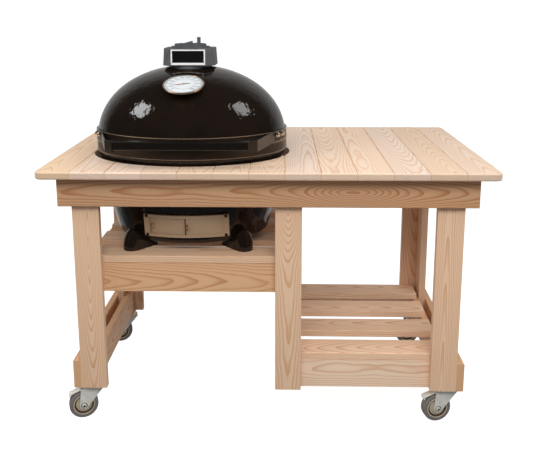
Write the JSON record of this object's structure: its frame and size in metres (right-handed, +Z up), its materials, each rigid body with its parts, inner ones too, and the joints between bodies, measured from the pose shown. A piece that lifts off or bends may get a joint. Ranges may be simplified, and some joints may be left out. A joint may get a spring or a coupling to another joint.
{
  "type": "kamado grill table",
  "caption": "Boarded wooden cooking table on locking casters with an oval ceramic kamado grill standing on a slatted deck through an oval cut-out in the top.",
  "frame": {"origin": "on the floor under the middle of the table top", "axes": "+X along the table to its right end, +Y from the front to the back, +Z up"},
  "size_m": [1.486, 0.889, 1.3237],
  "materials": {
    "top_wood": "sanded bare softwood",
    "frame_wood": "bare softwood, strong grain",
    "slat_wood": "bare softwood",
    "black_glaze": "glossy, dimpled",
    "bare_ceramic": "rough, unglazed",
    "cast_iron": "matt, sand-cast",
    "band_steel": "polished",
    "door_steel": "brushed",
    "handle_black": "satin",
    "dial_face": "white face, steel rim",
    "zinc": "zinc plated",
    "wheel": "grey tread on a tan rim"
  },
  "bodies": {
    "table": {"top_board_left": "top_wood", "top_boards_front": "top_wood", "top_boards_rear": "top_wood", "top_boards_right": "top_wood", "apron_front": "frame_wood", "apron_rear": "frame_wood", "apron_left": "frame_wood", "apron_right": "frame_wood", "leg_front_left": "frame_wood", "leg_front_right": "frame_wood", "leg_rear_left": "frame_wood", "leg_rear_right": "frame_wood", "leg_front_middle": "frame_wood", "leg_rear_middle": "frame_wood", "outer_rail_left": "frame_wood", "outer_rail_right": "frame_wood", "inner_rail_left": "frame_wood", "inner_rail_right": "frame_wood", "shelf_frame": "frame_wood", "deck_frame": "frame_wood", "shelf_slat_1": "slat_wood", "shelf_slat_2": "slat_wood", "shelf_slat_3": "slat_wood", "shelf_slat_4": "slat_wood", "deck_slat_1": "slat_wood", "deck_slat_2": "slat_wood", "deck_slat_3": "slat_wood", "deck_slat_4": "slat_wood", "foot_front_left": "black_glaze", "foot_front_right": "black_glaze", "foot_rear_left": "black_glaze", "foot_rear_right": "black_glaze", "grill_base": "black_glaze", "firebox": "bare_ceramic", "charcoal_grate": "cast_iron", "cooking_grate": "cast_iron", "base_band": "band_steel", "draft_frame": "door_steel", "caster_plate_front_left": "zinc", "caster_plate_front_right": "zinc", "caster_plate_rear_left": "zinc", "caster_plate_rear_right": "zinc"},
    "lid": {"grill_lid": "black_glaze", "lid_band": "band_steel", "handle_bar": "handle_black", "thermometer": "dial_face", "chimney": "cast_iron"},
    "damper": {"damper_disc": "cast_iron"},
    "draft_left": {"draft_door_left": "door_steel"},
    "draft_right": {"draft_door_right": "door_steel"},
    "fork_front_left": {"caster_fork_front_left": "zinc"},
    "wheel_front_left": {"caster_wheel_front_left": "wheel"},
    "fork_front_right": {"caster_fork_front_right": "zinc"},
    "wheel_front_right": {"caster_wheel_front_right": "wheel"},
    "fork_rear_left": {"caster_fork_rear_left": "zinc"},
    "wheel_rear_left": {"caster_wheel_rear_left": "wheel"},
    "fork_rear_right": {"caster_fork_rear_right": "zinc"},
    "wheel_rear_right": {"caster_wheel_rear_right": "wheel"},
    "pedal_front_left": {"brake_pedal_front_left": "zinc"},
    "pedal_front_right": {"brake_pedal_front_right": "zinc"}
  },
  "joints": [
    {"name": "lid_hinge", "type": "hinge", "parent": "table", "child": "lid", "pos_m": [-0.278, 0.19706, 0.9694], "axis": [-1, 0, 0], "range_deg": [0, 68]},
    {"name": "damper_turn", "type": "hinge", "parent": "lid", "child": "damper", "pos_m": [-0.278, -0.088, 1.2954], "axis": [0, 0, 1], "range_deg": [0, 72]},
    {"name": "draft_left_slide", "type": "hinge", "parent": "table", "child": "draft_left", "pos_m": [-0.278, 0.06811, 0.6959], "axis": [0, 0, 1], "range_deg": [0, 8]},
    {"name": "draft_right_slide", "type": "hinge", "parent": "table", "child": "draft_right", "pos_m": [-0.278, 0.06811, 0.6959], "axis": [0, 0, -1], "range_deg": [0, 8]},
    {"name": "swivel_front_left", "type": "hinge", "parent": "table", "child": "fork_front_left", "pos_m": [-0.6223, -0.32385, 0.127], "axis": [0, 0, 1], "continuous": true},
    {"name": "roll_front_left", "type": "hinge", "parent": "fork_front_left", "child": "wheel_front_left", "pos_m": [-0.65331, -0.33514, 0.05], "axis": [-0.342, 0.9397, 0], "continuous": true},
    {"name": "swivel_front_right", "type": "hinge", "parent": "table", "child": "fork_front_right", "pos_m": [0.6223, -0.32385, 0.127], "axis": [0, 0, 1], "continuous": true},
    {"name": "roll_front_right", "type": "hinge", "parent": "fork_front_right", "child": "wheel_front_right", "pos_m": [0.59002, -0.33071, 0.05], "axis": [-0.2079, 0.9781, 0], "continuous": true},
    {"name": "swivel_rear_left", "type": "hinge", "parent": "table", "child": "fork_rear_left", "pos_m": [-0.6223, 0.25405, 0.127], "axis": [0, 0, 1], "continuous": true},
    {"name": "roll_rear_left", "type": "hinge", "parent": "fork_rear_left", "child": "wheel_rear_left", "pos_m": [-0.65432, 0.24607, 0.05], "axis": [-0.2419, 0.9703, 0], "continuous": true},
    {"name": "swivel_rear_right", "type": "hinge", "parent": "table", "child": "fork_rear_right", "pos_m": [0.6223, 0.25405, 0.127], "axis": [0, 0, 1], "continuous": true},
    {"name": "roll_rear_right", "type": "hinge", "parent": "fork_rear_right", "child": "wheel_rear_right", "pos_m": [0.58962, 0.24946, 0.05], "axis": [-0.1392, 0.9903, 0], "continuous": true},
    {"name": "brake_front_left", "type": "hinge", "parent": "fork_front_left", "child": "pedal_front_left", "pos_m": [-0.65989, -0.33753, 0.107], "axis": [-0.342, 0.9397, 0], "range_deg": [-10, 0]},
    {"name": "brake_front_right", "type": "hinge", "parent": "fork_front_right", "child": "pedal_front_right", "pos_m": [0.58317, -0.33217, 0.107], "axis": [-0.2079, 0.9781, 0], "range_deg": [-10, 0]}
  ]
}
